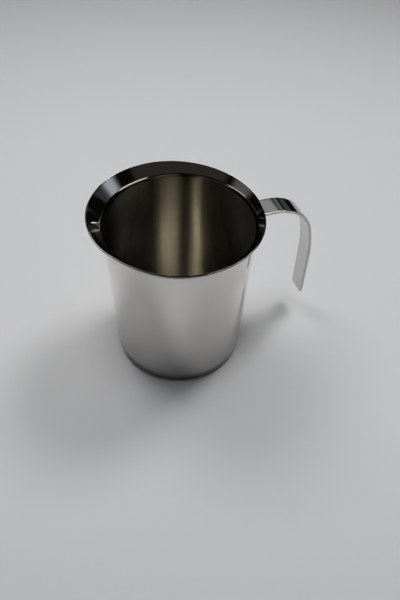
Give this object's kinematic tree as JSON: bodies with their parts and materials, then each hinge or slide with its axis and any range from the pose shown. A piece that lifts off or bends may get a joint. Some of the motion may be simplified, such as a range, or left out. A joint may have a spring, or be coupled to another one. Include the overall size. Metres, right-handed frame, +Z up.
{
  "type": "candle melting pot",
  "caption": "Straight-walled stainless melting pot with a flared rim, an oblique trim rising to a shallow pouring beak, and an open strap handle welded under the rim.",
  "frame": {"origin": "centre of the pot's flat underside", "axes": "+Z up along the pot's axis, +X towards the handle, -X towards the pouring beak, +Y across"},
  "size_m": [0.1664, 0.1122, 0.1294],
  "materials": {
    "pot_steel": "satin drawn wall outside, polished inside and over the flare",
    "strap_steel": "bright, lightly brushed along the strap",
    "weld_steel": "dull, faintly heat-tinted spot"
  },
  "bodies": {
    "root": {"pot_shell": "pot_steel", "handle_strap": "strap_steel", "upper_weld_spot": "weld_steel", "lower_weld_spot": "weld_steel"}
  },
  "joints": []
}
